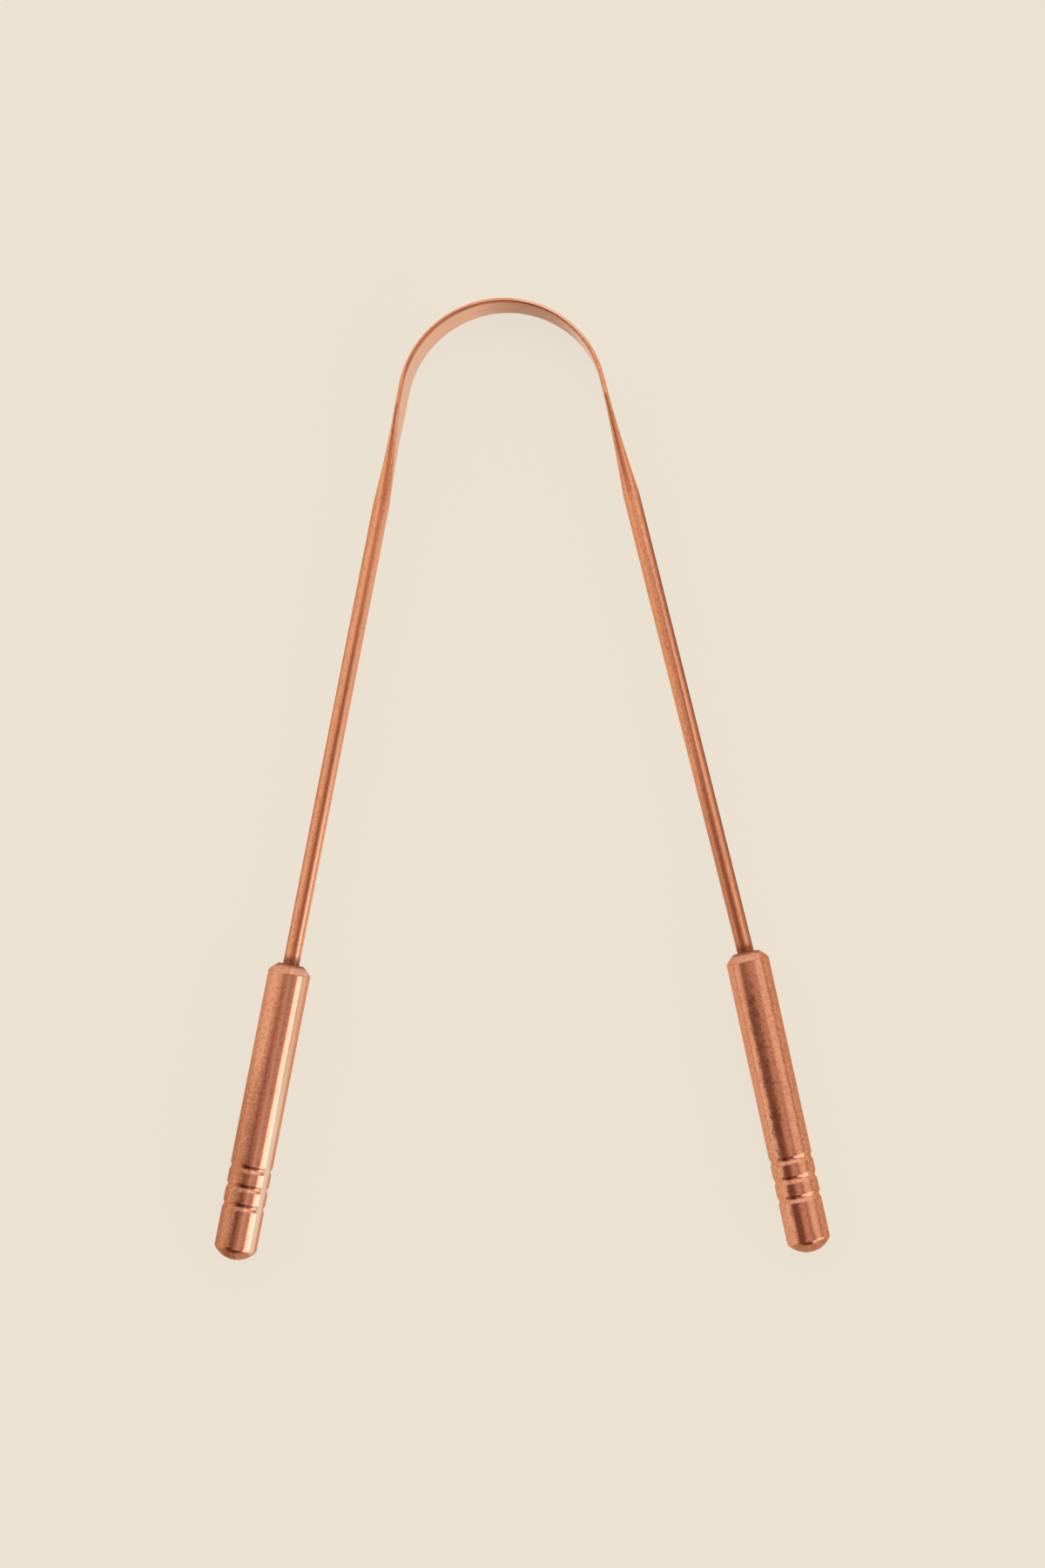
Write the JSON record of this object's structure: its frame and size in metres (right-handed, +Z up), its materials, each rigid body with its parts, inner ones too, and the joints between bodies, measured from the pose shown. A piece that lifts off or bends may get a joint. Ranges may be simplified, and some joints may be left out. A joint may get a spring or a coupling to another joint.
{
  "type": "tongue scraper",
  "caption": "Copper tongue scraper: a wire pressed flat into a springy scraping bow, its round rods held in turned, grooved handles that squeeze together.",
  "frame": {"origin": "under the middle of the whole tool, on the surface that it lies on", "axes": "+X to the right across the handles, +Y from the handles to the bow, +Z up from the surface"},
  "size_m": [0.0904, 0.142, 0.0068],
  "materials": {
    "drawn_copper": "drawn and pressed copper wire, satin with fine lines along it",
    "turned_copper": "turned copper bar, satin with light tarnish"
  },
  "bodies": {
    "bow": {"scraping_band": "drawn_copper"},
    "left_arm": {"left_rod": "drawn_copper", "left_handle": "turned_copper"},
    "right_arm": {"right_rod": "drawn_copper", "right_handle": "turned_copper"}
  },
  "joints": [
    {"name": "left_arm_flex", "type": "hinge", "parent": "bow", "child": "left_arm", "pos_m": [-0.0104, 0.06258, 0.0034], "axis": [0, 0, 1], "range_deg": [-6, 6], "stiffness_Nm_per_rad": 0.74, "deforming": ["scraping_band"]},
    {"name": "right_arm_flex", "type": "hinge", "parent": "bow", "child": "right_arm", "pos_m": [0.01162, 0.06258, 0.0034], "axis": [0, 0, -1], "range_deg": [-6, 6], "stiffness_Nm_per_rad": 0.74, "deforming": ["scraping_band"]}
  ]
}
